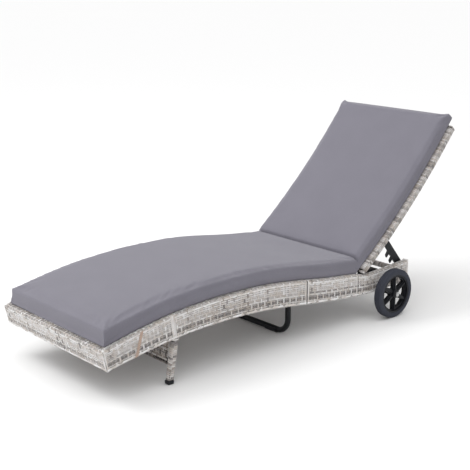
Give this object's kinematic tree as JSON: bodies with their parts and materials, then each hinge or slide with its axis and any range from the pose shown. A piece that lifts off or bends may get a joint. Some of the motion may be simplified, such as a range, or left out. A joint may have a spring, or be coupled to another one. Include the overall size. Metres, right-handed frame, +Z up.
{
  "type": "sun lounger",
  "caption": "Woven garden sun lounger with a curved seat, a reclining padded backrest on notched stays, a bent middle leg and two spoked wheels.",
  "frame": {"origin": "on the ground under the middle of the lounger, backrest raised", "axes": "+X from the foot end to the head end, +Y to the left of someone lying on it, +Z up"},
  "size_m": [1.7918, 0.763, 0.7909],
  "materials": {
    "rattan": "flat polyethylene strands woven in mottled light grey and beige",
    "strap": "flat tan webbing",
    "cushion_fabric": "plain-woven grey outdoor canvas",
    "tyre": "matt blue-black tread ring",
    "black_plastic": "moulded, slightly satin",
    "black_metal": "black powder coat",
    "tube_metal": "dark powder-coated steel tube",
    "steel": "zinc plated"
  },
  "bodies": {
    "frame": {"axle": "steel", "axle_saddles": "black_metal", "bracket_bolts": "steel", "catch_pins": "steel", "cushion_strap_left": "strap", "cushion_strap_right": "strap", "foot_end_lower_tube": "tube_metal", "foot_end_skirt": "rattan", "foot_end_upper_tube": "tube_metal", "front_foot_left": "black_plastic", "front_foot_right": "black_plastic", "front_leg_panel": "rattan", "front_leg_stretcher": "tube_metal", "front_leg_tubes": "tube_metal", "front_leg_wrap_left": "rattan", "front_leg_wrap_right": "rattan", "hinge_bolts": "steel", "hinge_brackets": "black_metal", "joint_bolts": "steel", "joint_nuts": "steel", "joint_tube_foot": "tube_metal", "joint_tube_head": "tube_metal", "lower_rail_tubes_foot": "tube_metal", "lower_rail_tubes_head": "tube_metal", "middle_leg": "black_metal", "middle_leg_bolts": "steel", "middle_leg_glides": "black_plastic", "rail_struts": "tube_metal", "rear_cross_tube": "tube_metal", "rear_cross_wrap": "rattan", "seat_cross_tubes": "tube_metal", "seat_cushion": "cushion_fabric", "seat_deck_foot": "rattan", "seat_deck_head": "rattan", "side_skirt_foot_left": "rattan", "side_skirt_foot_right": "rattan", "side_skirt_head_left": "rattan", "side_skirt_head_right": "rattan", "tail_tube": "tube_metal", "upper_rail_tubes_foot": "tube_metal", "upper_rail_tubes_head": "tube_metal", "wheel_nuts": "steel", "wheel_spacers": "black_plastic"},
    "backrest": {"back_cross_tubes": "tube_metal", "back_cushion": "cushion_fabric", "back_deck": "rattan", "back_side_tube_left": "tube_metal", "back_side_tube_right": "tube_metal", "back_side_wrap_left": "rattan", "back_side_wrap_right": "rattan", "back_top_tube": "tube_metal", "back_top_wrap": "rattan", "stay_bolts": "steel"},
    "stay_left": {"stay_left": "black_metal"},
    "stay_right": {"stay_right": "black_metal"},
    "wheel_left": {"wheel_left": "black_plastic", "tyre_left": "tyre"},
    "wheel_right": {"wheel_right": "black_plastic", "tyre_right": "tyre"}
  },
  "joints": [
    {"name": "recline", "type": "hinge", "parent": "frame", "child": "backrest", "pos_m": [0.35793, 0, 0.209], "axis": [0, 1, 0], "range_deg": [0, 38]},
    {"name": "stay_swing_left", "type": "hinge", "parent": "backrest", "child": "stay_left", "pos_m": [0.49176, 0.28, 0.31405], "axis": [0, 1, 0], "range_deg": [-80, 0]},
    {"name": "stay_swing_right", "type": "hinge", "parent": "backrest", "child": "stay_right", "pos_m": [0.49176, -0.28, 0.31405], "axis": [0, 1, 0], "range_deg": [-80, 0]},
    {"name": "wheel_turn_left", "type": "hinge", "parent": "frame", "child": "wheel_left", "pos_m": [0.47893, 0.3555, 0.1], "axis": [0, 1, 0], "continuous": true},
    {"name": "wheel_turn_right", "type": "hinge", "parent": "frame", "child": "wheel_right", "pos_m": [0.47893, -0.3555, 0.1], "axis": [0, 1, 0], "continuous": true}
  ],
  "couplings": [
    {"joint": "stay_swing_left", "follows": "recline", "ratio": -2.105},
    {"joint": "stay_swing_right", "follows": "recline", "ratio": -2.105}
  ]
}
